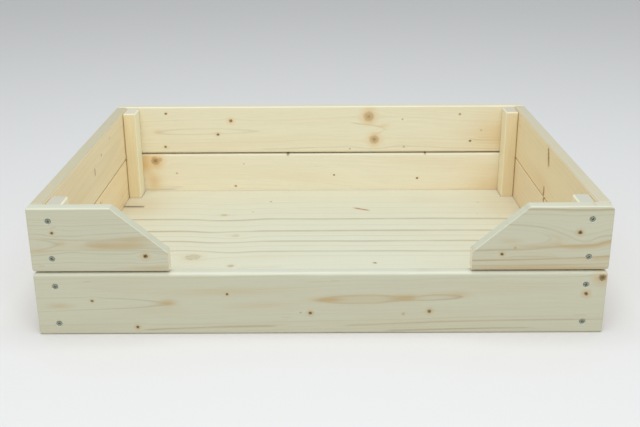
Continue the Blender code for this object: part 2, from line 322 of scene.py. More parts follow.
FIGURES = {
    "back_upper_board": Figure(
        "X", "Z",
        (
            (0, 44.5, 26.8), (73, 45, 25.1), (170, 47, 24.2), (298, 47, 25.1), (400, 50, 26.4),
            (500, 52, 24), (562, 53, 25.1), (700, 48, 27.5), (840, 45, 29),
        ),
        4.6, 11, BACK_PAINTED_LIGHT, BACK_TOP_PAINTED_SHADE,
        knots=(
            (100, 85, 2.4, 0.85, 0.6), (234, 69, 3.2, 0.8, 1.8), (206, 40, 2.6, 0.88, 0.9),
            (95, 14, 2.4, 0.85, 0.8), (520, 77, 10.5, 0.72, 0.5, 0.4), (532, 28, 9.5, 0.74, 0.5, 0.42),
            (708, 81, 2.2, 0.66, 0.6), (732, 24, 2.1, 0.95, 0.8), (590, 71, 1.8, 0.45, 0.6),
            (754, 47, 1.8, 0.4, 0.5), (594, 12, 1.8, 0.45, 0.6), (481, 8.5, 2, 0.4, 0.5),
        ),
        rings=((25.1, 0.22, 0.26, 60, 300),),
        lines=(
            (((0, 66), (470, 64), (500, 61.5), (530, 58), (548, 54), (560, 49.5), (840, 49.5)), 3, 0.34,
             485, 556),
            (((0, 40), (525, 40.5), (545, 43), (558, 48), (840, 48)), 3, 0.28, 532, 556),
            (30, 1, 0.3, 745), (24, 1, 0.45, 735), (18, 1, 0.35, 750), (6, 1.2, 0.3, 300),
        ),
        tones=(
            # Of these tones, the one at 800 mm along is painted warm shade beside the rear right post.
            (520, 69, 13, 12, 0.5), (532, 20, 10, 9, 0.42), (800, 36, 60, 44, 0.52),
            (550, 50, 12, 7, 0.45), (82, 46, 10, 5, 0.34), (30, 50, 40, 60, 0.16),
        ),
        contrast=0.3, wander=1.6, quiet=25.4,
    ),
    "back_lower_board": Figure(
        "X", "Z",
        ((0, 60, 50), (300, 58, 52), (600, 40, 46), (840, 34, 47)),
        5, 23, BACK_LOWER_PAINTED_LIGHT, BACK_TOP_PAINTED_SHADE,
        knots=(
            (71.5, 84.5, 8.5, 0.76, 0.9, 0.6), (81, 87, 5, 0.5, 0.8, 0.5), (115, 57, 1.8, 0.45, 0.6),
            (258, 77, 1.8, 0.3, 0.5), (239, 28, 2.2, 0.7, 0.7), (448, 51.5, 1.8, 0.95, 0.5),
            (624, 44, 2, 1.0, 0.8), (351, 98, 2.8, 0.95, 0.5), (639, 98, 2.2, 0.95, 0.5),
        ),
        lines=(
            (42, 1.4, 0.3, 700), (32, 1.6, 0.36, 660), (22, 1.2, 0.24, 690),
            (((0, 21.5), (840, 21.5)), 3.4, 0.55, 45, 110),
            (((0, 26.5), (840, 26.5)), 2.6, 0.3, 60, 125),
        ),
        tones=(
            (73.5, 85.5, 13, 11, 0.72), (50, 80, 11, 20, 0.8), (67, 38, 13, 20, 0.52),
            # Of these tones, the one at 800 mm along is painted warm shade beside the rear right post.
            (55, 50, 30, 50, 0.24), (800, 40, 70, 40, 0.66), (660, 36, 80, 10, 0.22),
        ),
        contrast=0.26,
    ),
    "front_lower_board": Figure(
        "X", "Z",
        (
            (0, 48.5, 22.2), (100, 50.5, 23.2), (204, 50, 25.1), (310, 52, 26.4), (414, 55, 25.1),
            (490, 56.2, 23.95), (545, 56.6, 24.8), (590, 58.5, 24.6), (632, 59.5, 25.1), (740, 61, 27),
            (840, 60, 27.5),
        ),
        4.7, 31, FRONT_INNER_PAINTED_LIGHT, FRONT_TOP_PAINTED_LIGHT,
        knots=(
            (83, 55, 2.2, 0.85, 0.7), (147.5, 12, 2.4, 0.9, 1.2), (283, 65, 1.8, 0.92, 0.7),
            (405, 34, 2.5, 0.9, 1.2), (390.5, 34.5, 1.2, 0.4, 0.5), (581, 36, 2.7, 0.84, 1.3),
            (543, 32, 2, 0.36, 0.5), (810.5, 63.5, 2.9, 0.92, 1.7), (832, 89.5, 5, 0.86, 1.9),
        ),
        rings=(
            (25.1, 0.22, 0.5, None, 300), (25.1, 0.34, 0.72, 400, 560), (25.1, 0.16, 0.66, 560, 660),
            (33.5, 0.4, 0.16),
        ),
        lines=(
            (((0, 5), (131, 6.6), (200, 9), (290, 11.4), (345, 12.4), (395, 12.8), (840, 12.8)), 2.6,
             0.8, 160, 350),
            (((0, 10.5), (400, 11.2), (460, 13.2), (560, 17.2), (640, 19.8), (740, 21.4), (840, 22)),
             2.6, 0.62, 460),
            (((0, 2.4), (420, 2.8), (540, 4.8), (640, 7.2), (840, 9.6)), 2.8, 0.8, 520, 730),
            (15, 1, 0.22), (90, 1, 0.18), (79, 1, 0.2, 400),
        ),
        streaks=(
            (370, 27, 10, 0.8, 0.0, 0.16), (442, 86, 9, 0.9, 0.0, 0.16), (78.5, 86, 7, 1, 0.05, 0.2),
            (805, 29, 14, 0.9, 0.0, 0.22), (310, 13.5, 75, 1, 0.02, 0.26),
        ),
        tones=(
            (195, 50, 12, 5, 0.8), (432, 49, 20, 4, 0.8), (546, 50, 18, 4.5, 0.62),
            (622, 52, 18, 5, 0.45), (34, 46, 18, 4, 0.45), (490, 50, 60, 7, 0.26),
            (590, 54, 16, 4, 0.22), (275, 66, 70, 5, 0.22), (330, 43, 45, 5, 0.28),
            (180, 38, 60, 8, 0.12), (700, 60, 90, 12, 0.12),
        ),
        contrast=0.5, wander=1.2, cloud=0.12, quiet=25.4,
    ),
    "front_left_wing": Figure(
        "X", "Z",
        (
            (0, 43, 22.8), (46, 43.5, 25.1), (63, 43.5, 25.8), (80, 43.5, 25.1), (120, 44, 24),
            (170, 45, 23), (200, 45.5, 22.3),
        ),
        4, 47, FRONT_INNER_PAINTED_LIGHT, FRONT_TOP_PAINTED_LIGHT,
        knots=((35, 61.5, 2.2, 0.9, 0.9), (167, 25, 3.1, 0.97, 1.4)),
        rings=(
            (25.1, 0.26, 0.5, None, 60), (25.1, 0.7, 0.34, 80), (29, 0.5, 0.44), (33.5, 0.4, 0.24),
            (38.5, 0.6, 0.34), (45, 0.5, 0.28),
        ),
        lines=(
            (((0, 54), (50, 51), (90, 50), (200, 51)), 2.4, 0.42, 20),
            (((0, 33), (50, 34.5), (90, 35), (200, 30)), 2.2, 0.3),
        ),
        streaks=((38, 70, 6, 0.8, 0.2, 0.3), (15, 10, 6, 1, 0.0, 0.2)),
        tones=(
            (104, 40, 26, 5.6, 0.62), (148, 40, 28, 5.8, 0.66), (150, 49, 26, 4, 0.45),
            (47, 43.5, 6, 4, 0.42), (180, 4, 40, 4, 0.45), (12, 33, 20, 6, 0.25),
        ),
        contrast=0.55, wander=1.4, cloud=0.14, quiet=22.6,
    ),
    "front_right_wing": Figure(
        "X", "Z",
        (
            (0, 51.5, 21.8), (53, 51.5, 21.9), (91, 51, 23.5), (119, 48, 26.2), (147, 42, 28.5),
            (168, 42, 29), (189, 46.5, 29), (200, 48.5, 29),
        ),
        4.8, 59, FRONT_INNER_PAINTED_LIGHT, FRONT_TOP_PAINTED_LIGHT,
        knots=((153, 59, 3.1, 0.98, 1.0), (43, 26, 2.3, 0.95, 1.0), (61.5, 36, 1.6, 0.42, 0.6)),
        rings=((33, 0.4, 0.22), (25.5, 0.3, 0.18)),
        lines=(
            (((0, 72.2), (49, 71.6), (84, 69.1), (109, 64.4), (126, 58.2), (140, 52), (151, 47.3), (162,
             45.2), (176, 50), (190, 53.5), (200, 54)), 3.4, 0.48, 45),
            (((0, 31.5), (42, 32.8), (77, 33.2), (105, 36), (126, 37.5), (154, 39.2), (171, 39.6), (186,
             42.8), (200, 46.8)), 3.6, 0.66),
            (95.2, 1.4, 0.8), (88, 1, 0.34), (22.5, 0.8, 0.45, 40),
            (((0, 16.2), (70, 17.2), (140, 19.2), (200, 22.2)), 2.7, 0.95),
            (((0, 8), (100, 8.5), (200, 11)), 2.2, 0.55), (5, 1, 0.45),
        ),
        tones=(
            (145, 44, 36, 4, 0.78), (190, 47.5, 26, 4.5, 0.62), (92, 37.5, 30, 3.4, 0.5),
            (55, 47, 18, 5, 0.34), (110, 4.5, 120, 5, 0.6), (190, 20, 30, 4, 0.45),
            (100, 16, 120, 10, 0.16), (125, 56, 20, 6, 0.2),
        ),
        contrast=0.45, wander=1, cloud=0.12, quiet=25.5, reach=30,
    ),
    "left_upper_board": Figure(
        "Y", "Z",
        ((0, 40, 48), (300, 46, 44), (599.4, 50, 50)),
        5.2, 61, WALL_PAINTED_LIGHT["left_upper"], LEFT_WALL_TOP_PAINTED_SHADE,
        knots=(
            (432, 78.5, 2, 0.45, 0.6), (359, 67, 2.6, 0.6, 0.6), (305, 48, 3, 0.56, 0.6),
            (305, 51.5, 3, 0.56, 0.6), (305, 55, 3, 0.54, 0.6),
        ),
        tones=((60, 30, 100, 20, 0.3),),
        contrast=0.22,
    ),
    "left_lower_board": Figure(
        "Y", "Z",
        ((0, 70, 60), (300, 66, 56), (599.4, 70, 60)),
        5, 67, WALL_PAINTED_LIGHT["left_lower"], JOINT_PAINTED_LIGHT,
        knots=((325, 87, 2.4, 0.75, 0.6), (500, 40, 2, 0.4, 0.6)),
        lines=((60, 1, 0.16), (45, 1, 0.16), (30, 1, 0.2)),
        contrast=0.28,
    ),
    "right_upper_board": Figure(
        "Y", "Z",
        ((0, 52, 50), (300, 48, 46), (599.4, 50, 52)),
        5.2, 73, WALL_PAINTED_LIGHT["right_upper"], RIGHT_WALL_TOP_PAINTED_SHADE,
        knots=(
            (299, 89, 4.6, 0.72, 0.6), (297, 83, 4.8, 0.74, 0.6), (295, 77.5, 5, 0.76, 0.6),
            (293, 72, 4.8, 0.72, 0.6), (291, 66.5, 4.4, 0.66, 0.6), (310, 6, 4.2, 0.82, 0.9),
            (310, 11, 4, 0.76, 0.8), (310, 15.5, 3.8, 0.68, 0.7), (537, 72, 1.8, 0.35, 0.5),
        ),
        tones=((330, 20, 60, 30, 0.2),),
        contrast=0.22,
    ),
    "right_lower_board": Figure(
        "Y", "Z",
        ((0, 80, 55), (300, 84, 60), (599.4, 80, 55)),
        5, 79, WALL_PAINTED_LIGHT["right_lower"], JOINT_PAINTED_LIGHT,
        knots=((307, 96, 4, 0.8, 0.9), (140, 50, 2.2, 0.7, 0.7)),
        contrast=0.28,
    ),
    "floor_panel": Figure(
        "X", "Y",
        (
            (0, -250, 200), (130, -249, 200), (215, -257, 200), (300, -249.5, 200), (500, -249, 200),
            (799.4, -251, 200),
        ),
        8.5, 83, FLOOR_PAINTED_SHADE, FLOOR_PAINTED_SHADE,
        knots=(
            (297, 526, 2.2, 0.85, 0.6), (265, 465, 1.8, 0.65, 0.5), (209, 447, 4.4, 0.6, 0.8),
            (241, 336, 6, 0.3, 0.9), (175, 233, 11, 0.5, 0.9, 0.75), (246, 194, 4.6, 0.62, 0.8),
            (493, 205, 3, 0.85, 0.5), (721, 518, 1.8, 0.6, 0.5), (708, 449, 1.5, 0.5, 0.5),
        ),
        lines=(
            (424.5, 3.8, 0.74), (360.5, 4, 0.8), (308, 3.6, 0.7), (259, 3.4, 0.62), (390, 1.8, 0.2),
            (334, 1.8, 0.22), (285, 1.8, 0.2), (455, 1.8, 0.24), (487, 1.6, 0.22), (520, 1.8, 0.26),
            (238, 1.6, 0.22), (190, 2, 0.22, None, 330), (552, 1.6, 0.2),
        ),
        streaks=((481, 479, 20, 3.6, -0.5, 1.0),),
        cracks=((13, 498.5, 31, 5.6, 0.0, 0.62),),
        tones=(
            (30, 500, 60, 50, 0.35), (770, 500, 60, 80, 0.22), (300, 235, 60, 12, 0.14),
            (620, 530, 50, 20, 0.12),
        ),
        contrast=0.34, cloud=0.05,
    ),
}

# The four posts: where the log's middle lies across and below the face, a year's growth and the seed.
POSTS = {
    "front_left": (-60, 30, 4, 89), "front_right": (90, 30, 4, 97),
    "rear_left": (-50, 50, 3.6, 101), "rear_right": (80, 50, 3.6, 103),
}
for corner, (pith_across, pith_depth, ring, seed) in POSTS.items():
    FIGURES["post_" + corner] = Figure(
        "Z", "X", ((0, pith_across, pith_depth), (197, pith_across, pith_depth + 2)), ring, seed,
        POST_PAINTED_LIGHT[corner.split("_")[1]], POST_TOP_PAINTED_LIGHT[corner],
        tones=((100, pith_across, 500, 200, 0.3),) if corner.startswith("rear") else (),
    )


def in_metres(value):
    """A length in millimetres, or a tuple of them, in metres. None stays None."""
    if isinstance(value, tuple):
        return tuple(in_metres(part) for part in value)
    return None if value is None else value * MM


def scaled(item):
    """The mark or figure with all its lengths in metres."""
    return item._replace(**{field: in_metres(getattr(item, field)) for field in LENGTHS[type(item)]})


for node, figure in FIGURES.items():
    marks = {}
    for field, kind in MARKS.items():
        marks[field] = tuple(scaled(kind(*values)) for values in getattr(figure, field))
    FIGURES[node] = scaled(figure)._replace(**marks)


# ---------------------------------------------------------------- spruce

EARLY_WOOD = (0.79, 0.685, 0.475, 1.0)
LATE_WOOD = (0.57, 0.44, 0.235, 1.0)
LINE_WOOD = (0.42, 0.335, 0.20, 1.0)
WARM_WOOD_AND_PAINTED_SHADE = (0.70, 0.46, 0.205, 1.0)
KNOT_WOOD = (0.46, 0.25, 0.09, 1.0)
KNOT_BARK = (0.070, 0.052, 0.022, 1.0)
FLOOR_KNOT_WOOD = (0.50, 0.43, 0.28, 1.0)
KNOT_GLOW = (0.74, 0.50, 0.24, 1.0)
RESIN = (0.42, 0.17, 0.075, 1.0)
# Painted shade inside the floor's open check.
CRACK_PAINTED_SHADE = (0.10, 0.065, 0.03, 1.0)
CANAL_WOOD = (0.45, 0.28, 0.12, 1.0)
END_WOOD = (0.76, 0.62, 0.40, 1.0)
CUT_WOOD = (0.96, 0.825, 0.60, 1.0)
POST_END_WOOD = (0.60, 0.565, 0.44, 1.0)
WORN_AND_HIGHLIGHT_WOOD = (0.88, 0.80, 0.62, 1.0)
# Painted light on the posts' sides that face the box's middle.
POST_SIDE_PAINTED_LIGHT = {"left": (1.0, 0.92, 0.655, 1.0), "right": (0.97, 0.84, 0.57, 1.0)}

KNOT_PUSH = 1.3
KNOT_PUSH_ALONG = 4.5
KNOT_PUSH_ACROSS = 2.4
KNOT_STRETCH = 1.12
KNOT_JAG_SCALE = 520.0
KNOT_RIM_SCALE = 260.0
KNOT_YEARS = 3.3

LINE_FADE = 0.010
QUIET_FADE = 0.0015
PITH_DRIFT = 0.0004
GROWTH_SWING = 2.6
# How many times in a metre the wood changes: fibres and resin canals along and across the grain,
# broad clouds along and across it, and the saw marks on its ends.
FIBRE_ALONG, FIBRE_ACROSS = 14.0, 620.0
CANAL_ALONG, CANAL_ACROSS = 55.0, 900.0
CLOUD_ALONG, CLOUD_ACROSS, CLOUD_DEPTH = 3.0, 26.0, 8.0
SAW_ACROSS, SAW_DEPTH = 90.0, 1400.0
SPRUCE_SPECULAR = 0.35
SPRUCE_BUMP = (0.35, 0.0002)

# What the material knows of one board: its coordinates, the across value as the grain bends, the
# knots' masks, the late wood of every ring, the fine rings and the bold lines.
Grain = namedtuple("Grain", "along across depth pushed heart bark halo late rings bold")


def knot_group():
    """Node group: how far one knot pushes the grain aside, and its heart, bark rim and glow."""
    group = bpy.data.node_groups.new("spruce_knot", "ShaderNodeTree")
    inputs = ("Along", "Across", "Centre Along", "Centre Across", "Radius", "Shade", "Glow", "Core")
    for name in inputs:
        group.interface.new_socket(name, in_out="INPUT", socket_type="NodeSocketFloat")
    for name in ("Push", "Heart", "Bark", "Halo"):
        group.interface.new_socket(name, in_out="OUTPUT", socket_type="NodeSocketFloat")
    w = Wiring(group)
    given = w.node("NodeGroupInput").outputs
    result = w.node("NodeGroupOutput").inputs
    along, across, centre_along, centre_across, radius, shade, glow, core = (given[name] for name in inputs)
    off_along = w.minus(along, centre_along)
    off_across = w.minus(across, centre_across)

    # The grain bends round the knot, and less so round one with a small core.
    bulk = w.times(radius, w.linear(core, 0.0, 1.0, 0.5, 1.0))
    far_along = w.over(off_along, w.times(bulk, KNOT_PUSH_ALONG))
    far_across = w.over(off_across, w.times(bulk, KNOT_PUSH_ACROSS))
    fade = w.math("EXPONENT", w.times(w.squares(far_along, far_across), -1.0))
    w.feed(result["Push"], w.times(off_across, fade, KNOT_PUSH))

    # The heart is a jagged oval with a few rings of its own.
    near_along = w.over(off_along, w.times(radius, KNOT_STRETCH))
    near_across = w.over(off_across, radius)
    spot = w.vector(along, across, centre_along)
    jagged = w.swing(w.noise(spot, KNOT_JAG_SCALE), w.linear(core, 0.3, 1.0, 0.5, 0.7))
    distance = w.plus(w.math("SQRT", w.squares(near_along, near_across)), jagged)
    inside = w.spread(distance, w.linear(core, 0.3, 1.0, 0.55, 0.75), 1.15, 1.0, 0.0)
    years = w.spread(w.math("FRACT", w.times(distance, KNOT_YEARS)), 0.2, 1.0, 0.72, 1.0)
    heart = w.times(inside, years, w.linear(core, 0.2, 1.0, 0.60, 1.0))
    w.feed(result["Heart"], w.times(heart, w.spread(shade, 0.0, 0.7)))

    # A dark knot is dark right through. A paler one has only a patchy dark rim and a crack.
    darkness = w.spread(shade, 0.55, 1.0)
    patches = w.spread(w.noise(spot, KNOT_RIM_SCALE, 1.0), 0.4, 0.6)
    rim = w.times(w.bell(distance, 0.92, 0.20), patches)
    turn = w.math("SINE", w.math("ARCTAN2", near_across, near_along))
    crack = w.times(w.bell(turn, 0.45, 0.16), w.spread(distance, 0.0, 0.9, 1.0, 0.0))
    partly = w.times(w.largest(rim, crack), w.times(shade, 0.8))
    partly = w.times(partly, w.spread(core, 0.4, 1.0, 0.12, 1.0))
    wholly = w.spread(distance, w.times(core, 0.35), w.times(core, 1.05), 1.0, 0.0)
    wholly = w.times(wholly, inside, darkness)
    w.feed(result["Bark"], w.largest(partly, wholly))

    halo = w.spread(distance, 0.8, w.plus(2.0, glow), 1.0, 0.0)
    w.feed(result["Halo"], w.times(halo, w.times(shade, w.math("POWER", glow, 0.5))))
    return group


KNOT_GROUP = knot_group()


def add_knots(w, along, across, knots):
    """Wires one knot group for each knot. Returns the across value pushed aside, and the masks."""
    if not knots:
        return across, 0.0, 0.0, 0.0
    made = []
    for knot in knots:
        group = w.node("ShaderNodeGroup", node_tree=KNOT_GROUP)
        for socket, value in zip(group.inputs, (along, across, *knot)):
            w.feed(socket, value)
        made.append(group.outputs)
    pushed = w.minus(across, w.plus(*[outputs["Push"] for outputs in made]))
    masks = [w.largest(*[outputs[name] for outputs in made]) for name in ("Heart", "Bark", "Halo")]
    return pushed, *masks


def late_wood_line(w, offset, along, place, mark):
    """One bold ring seen across the face: it darkens slowly on one side and stops sharply."""
    rise = w.spread(offset, -3.5, 0.0)
    fall = w.spread(offset, 0.0, 0.8, 1.0, 0.0)
    patchy = w.noise(w.vector(w.times(along, 9.0), place * 90.0, 0.0))
    mask = w.times(rise, rise, fall, w.spread(patchy, 0.3, 0.65, 0.6, 1.0))
    if mark.start is not None:
        mask = w.times(mask, w.spread(along, mark.start - LINE_FADE, mark.start + LINE_FADE))
    if mark.stop is not None:
        mask = w.times(mask, w.spread(along, mark.stop - LINE_FADE, mark.stop + LINE_FADE, 1.0, 0.0))
    return w.times(mask, mark.strength)


def streak_mask(w, grain, streak, full_share=0.4):
    """A short mark that lies at a slope to the grain and fades at both ends."""
    off_along = w.minus(grain.along, streak.along)
    off_across = w.minus(grain.across, streak.across)
    aside = w.minus(off_across, w.times(off_along, streak.slope))
    distance = w.math("ABSOLUTE", off_along)
    length = w.spread(distance, streak.reach * full_share, streak.reach, 1.0, 0.0)
    return w.times(w.bell(aside, 0.0, streak.width), length, streak.strength)


def curve_along(w, share, points):
    """A smooth value through (share of the length, value) points."""
    lowest = min(value for _, value in points)
    span = max(max(value for _, value in points) - lowest, 1e-6)
    made = w.node("ShaderNodeFloatCurve")
    w.feed(made.inputs["Value"], share)
    curve = made.mapping.curves[0]
    curve.points[0].location = (points[0][0], (points[0][1] - lowest) / span)
    curve.points[1].location = (points[-1][0], (points[-1][1] - lowest) / span)
    for place, value in points[1:-1]:
        curve.points.new(place, (value - lowest) / span)
    made.mapping.update()
    return w.plus(w.times(made.outputs["Value"], span), lowest)


def depth_axis_of(figure):
    return next(axis for axis in AXES if axis not in (figure.grain, figure.across))


def grown_wood(w, low, length, figure):
    """The board's grain, wired from the place of each point of its mesh."""
    offset = w.node("ShaderNodeVectorMath", operation="SUBTRACT")
    w.feed(offset.inputs[0], w.node("ShaderNodeTexCoord").outputs["Object"])
    offset.inputs[1].default_value = low
    place = w.parts(offset.outputs[0])
    along, across, depth = (place[axis] for axis in (figure.grain, figure.across, depth_axis_of(figure)))
    seed = float(figure.seed)

    # The grain wanders a little along the board, and bends round each knot.
    pushed, heart, bark, halo = add_knots(w, along, across, figure.knots)
    slow = w.noise(w.vector(w.times(along, 4.0), w.times(across, 9.0), seed))
    pushed = w.plus(pushed, w.swing(slow, 2.0 * figure.wander))

    # Distance from the log's middle, and the growth rings counted along it.
    share = w.over(along, length)
    start_across = figure.pith[0][1]
    bends = [(point[0] / length, point[1] - start_across) for point in figure.pith]
    depths = [(point[0] / length, point[2]) for point in figure.pith]
    bend_share = w.bell(pushed, start_across, figure.reach)
    pushed = w.minus(pushed, w.times(curve_along(w, share, bends), bend_share))
    drift = w.swing(w.noise(w.vector(w.times(along, 9.0), seed, 7.0)), PITH_DRIFT)
    down = w.plus(depth, w.plus(curve_along(w, share, depths), drift))
    radius = w.math("SQRT", w.squares(w.minus(pushed, start_across), down))
    growth = w.noise(w.vector(w.times(radius, 60.0), seed, 3.0))
    count = w.plus(w.over(radius, figure.ring), w.times(growth, GROWTH_SWING))
    within = w.math("FRACT", count)
    late = w.times(w.spread(within, 0.35, 0.93), w.spread(within, 0.93, 1.0, 1.0, 0.0))
    year = w.node("ShaderNodeTexWhiteNoise", noise_dimensions="1D")
    w.feed(year.inputs["W"], w.plus(w.math("FLOOR", count), seed))
    yearly = w.math("POWER", year.outputs["Value"], 2.5)
    rings = w.times(late, w.linear(yearly, 0.0, 1.0, 0.16, 0.62), figure.contrast)
    if figure.quiet:
        rings = w.times(rings, w.spread(radius, figure.quiet, figure.quiet + QUIET_FADE, 0.12, 1.0))

    bold = []
    for ring in figure.rings:
        offset = w.over(w.minus(radius, ring.radius), ring.width)
        bold.append(late_wood_line(w, offset, along, ring.radius, ring))
    for line in figure.lines:
        if isinstance(line.across, tuple):
            path = [(point[0] / length, point[1]) for point in line.across]
            gap = w.math("ABSOLUTE", w.minus(across, curve_along(w, share, path)))
            start = line.across[0][1]
        else:
            gap = w.minus(pushed, line.across)
            start = line.across
        bold.append(late_wood_line(w, w.over(gap, line.width), along, start, line))
    return Grain(along, across, depth, pushed, heart, bark, halo, late, rings, bold)


def warm_share(w, grain, figure):
    """Broad clouds and the board's own patches of warmer wood, among them some painted warm shade."""
    broad = w.plus(w.times(grain.depth, CLOUD_DEPTH), float(figure.seed))
    broad = w.vector(w.times(grain.along, CLOUD_ALONG), w.times(grain.pushed, CLOUD_ACROSS), broad)
    cloud = w.spread(w.noise(broad, 1.0, 3.0), 0.42, 0.78)
    tones = [w.times(cloud, figure.cloud)]
    for tone in figure.tones:
        bell_along = w.bell(grain.along, tone.along, tone.reach_along)
        bell_across = w.bell(grain.pushed, tone.across, tone.reach_across)
        tones.append(w.times(bell_along, bell_across, tone.strength))
    return w.math("MINIMUM", w.plus(*tones), 1.0)


def spruce_material(name, low, high, figure):
    """Planed spruce whose growth rings, knots and bold lines follow the board's own figure."""
    material, shader, w = new_material(name)
    size = high - low
    middle = (low + high) / 2
    length = size[AXES.index(figure.grain)]
    depth_axis = depth_axis_of(figure)
    grain = grown_wood(w, low, length, figure)
    along, across, depth, pushed = grain[:4]
    seed = float(figure.seed)
    is_wall = name.startswith(("left_", "right_"))
    is_front = name.startswith("front_")
    is_wing = name.endswith("_wing")
    is_floor = depth_axis == "Z"

    # Painted light and shade: faces inside the box and on top are painted paler or darker than the outer
    # ones.
    facing = w.parts(w.node("ShaderNodeNewGeometry").outputs["Normal"])
    leaning = [w.math("ABSOLUTE", socket) for socket in facing]
    outward = math.copysign(1.0, middle[AXES.index(depth_axis)])
    on_inside = w.spread(w.times(facing[depth_axis], -outward), 0.2, 0.8)
    top_span = (0.25, 0.60) if is_wall else (0.70, 0.93)
    on_top = w.spread(facing["Z"], *top_span)
    shade = (*figure.shade, 1.0)
    if not is_floor:
        outer_shade = FRONT_PAINTED_SHADE if is_front else HIDDEN_SHADE
        shade = w.mix(on_inside, (*outer_shade, 1.0), shade)
        shade = w.mix(on_top, shade, (*figure.top, 1.0))
    # The colours of the wood, its warm patches and the knots' glow all carry the painted shade.
    early_wood, warm_wood_and_painted_shade, knot_glow = (
        w.mix(1.0, wood, shade, "MULTIPLY") for wood in (EARLY_WOOD, WARM_WOOD_AND_PAINTED_SHADE, KNOT_GLOW)
    )

    # Rings, bold lines and warm patches, some of these patches painted warm shade.
    colour = w.mix(grain.rings, early_wood, LATE_WOOD)
    if grain.bold:
        colour = w.mix(w.largest(*grain.bold), colour, LINE_WOOD)
    toned = warm_share(w, grain, figure)
    if not is_floor and not is_front:
        toned = w.times(toned, w.linear(on_inside, 0.0, 1.0, 0.35, 1.0))
    colour = w.mix(toned, colour, warm_wood_and_painted_shade)

    # Short resin canals, fine fibres, marks and knots.
    fine = [w.times(value, FIBRE_ACROSS) for value in (pushed, depth)]
    fibre = w.noise(w.vector(w.times(along, FIBRE_ALONG), *fine), 1.0, 3.0, 0.6)
    short = w.vector(w.times(along, CANAL_ALONG), w.times(pushed, CANAL_ACROSS), w.plus(depth, seed))
    canal = w.spread(w.noise(short, 1.0, 1.0), 0.70, 0.80)
    colour = w.mix(w.times(canal, 0.18), colour, CANAL_WOOD)
    tint = w.linear(fibre, 0.3, 0.7, 0.96, 1.025)
    colour = w.mix(1.0, colour, w.vector(tint, tint, tint), "MULTIPLY")
    if figure.streaks:
        streaks = [streak_mask(w, grain, streak) for streak in figure.streaks]
        colour = w.mix(w.largest(*streaks), colour, RESIN)
    # The check's dark colour is painted shade inside it.
    if figure.cracks:
        cracks = [streak_mask(w, grain, crack, 0.85) for crack in figure.cracks]
        colour = w.mix(w.largest(*cracks), colour, CRACK_PAINTED_SHADE)
    colour = w.mix(w.times(grain.halo, 0.55), colour, knot_glow)
    colour = w.mix(w.times(grain.heart, 0.9), colour, FLOOR_KNOT_WOOD if is_floor else KNOT_WOOD)
    colour = w.mix(grain.bark, colour, KNOT_BARK)

    # Sawn ends are of another shade, with saw marks across them.
    on_end = w.spread(leaning[AXES.index(figure.grain)], 0.80, 0.96)
    marks = w.noise(w.vector(seed, w.times(across, SAW_ACROSS), w.times(depth, SAW_DEPTH)))
    end_wood = END_WOOD
    # The post tops get the painted light of their top faces.
    if figure.grain == "Z":
        end_wood = (*(part * share for part, share in zip(POST_END_WOOD, figure.top)), 1.0)
    end_colour = w.mix(w.times(grain.late, 0.35), end_wood, LATE_WOOD)
    colour = w.mix(w.times(on_end, 0.8), colour, end_colour)
    toward_middle = w.times(facing["X"], -math.copysign(1.0, middle.x))
    # Painted light: the posts' sides that face the box's middle are painted paler.
    if name.startswith("post_"):
        painted_side_light = POST_SIDE_PAINTED_LIGHT["left" if middle.x < 0.0 else "right"]
        colour = w.mix(w.spread(toward_middle, 0.50, 0.90, 0.0, 0.90), colour, painted_side_light)
    if is_wing:
        colour = w.mix(w.spread(toward_middle, 0.85, 0.97, 0.0, 0.85), colour, CUT_WOOD)
        run = length - WING_TOP_LENGTH
        rise = size.z - WING_END_HEIGHT
        slope = Vector((rise, run)).normalized()
        on_slope = w.plus(w.times(toward_middle, slope.x), w.times(facing["Z"], slope.y))
        # Painted glare: on the slope the rings, lines and tones fade into the plain wood.
        colour = w.mix(w.spread(on_slope, 0.94, 0.99, 0.0, 0.75), colour, early_wood)
        leaning.append(on_slope)

    # Arrises are paler: some wear, and a painted highlight that is strongest on those that face up.
    arris = w.spread(w.largest(*leaning), 0.80, 0.985, 0.22, 0.0)
    arris = w.times(arris, w.spread(facing["Z"], 0.0, 0.6, 0.5, 0.3 if is_wall else 1.7))
    colour = w.mix(arris, colour, WORN_AND_HIGHLIGHT_WOOD)

    relief = w.plus(w.times(grain.late, 0.45 * figure.contrast), w.times(fibre, 0.55))
    relief = w.minus(relief, w.times(canal, 0.3))
    relief = w.minus(relief, w.times(grain.bark, 0.5))
    relief = w.plus(relief, w.times(on_end, marks, 1.2))
    roughness = w.plus(w.linear(fibre, 0.3, 0.7, 0.50, 0.62), w.times(on_end, 0.2))
    roughness = w.minus(roughness, w.times(grain.heart, 0.12))
    w.feed(shader.inputs["Base Color"], colour)
    w.feed(shader.inputs["Roughness"], roughness)
    shader.inputs["Specular IOR Level"].default_value = SPRUCE_SPECULAR
    add_bump(w, shader, relief, *SPRUCE_BUMP)
    return material


# ---------------------------------------------------------------- wooden pieces

BOARD_ARRIS = 0.003
JOINT_ARRIS = 0.0046
FRONT_EDGE_ARRIS = 0.0062
WALL_JOINT_ARRIS = 0.0016
POST_ARRIS = 0.0035
WORN_CORNER = 0.0075
WORN_CORNER_STEPS = 5
FLOOR_ARRIS = 0.0008
ARRIS_STEPS = 6
CUT_ARRIS_SHARE = 0.3
WING_TOP_LENGTH = 0.120
WING_END_HEIGHT = 0.030
CELL = 0.012
NEAR = 1e-4
MERGE = 1e-6
SLIVER = 2e-6
WAVE_DEPTH = 0.00022
WAVE_SCALE = 9.0
NICK_DEPTH = 0.0009
NICK_SCALE = 55.0
NICK_LEVEL = 0.15
SMOOTH_ANGLE = math.radians(35.0)

